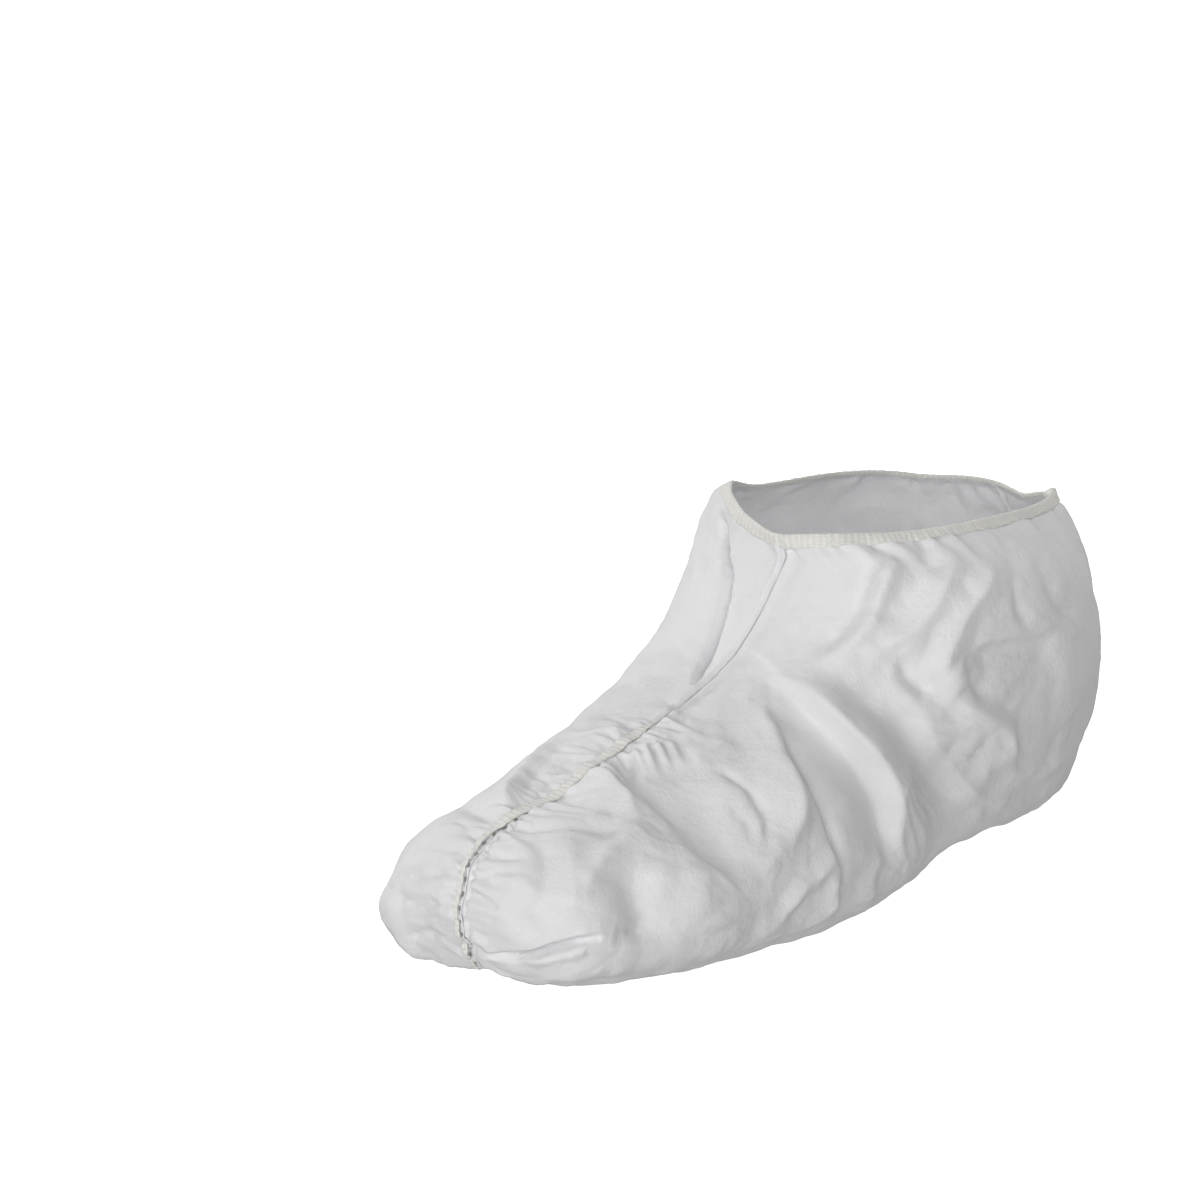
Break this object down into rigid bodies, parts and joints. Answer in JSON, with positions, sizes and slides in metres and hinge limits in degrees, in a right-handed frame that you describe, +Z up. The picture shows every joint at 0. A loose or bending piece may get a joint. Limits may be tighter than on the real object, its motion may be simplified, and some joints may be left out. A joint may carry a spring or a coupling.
{
  "type": "shoe cover",
  "caption": "Disposable nonwoven shoe cover with an elastic ankle hem and an elastic tape gathering the toe seam, standing open.",
  "frame": {"origin": "on the floor, below the middle of the bounding box", "axes": "+X towards the toe, +Y towards the wearer's left, +Z up"},
  "size_m": [0.3625, 0.1558, 0.1543],
  "materials": {
    "nonwoven_cloth": "matt white point-bonded nonwoven",
    "elastic": "matt cream stitched elastic"
  },
  "bodies": {
    "root": {"side_panel_left": "nonwoven_cloth", "side_panel_right": "nonwoven_cloth", "ankle_elastic": "elastic", "toe_elastic": "elastic"}
  },
  "joints": []
}
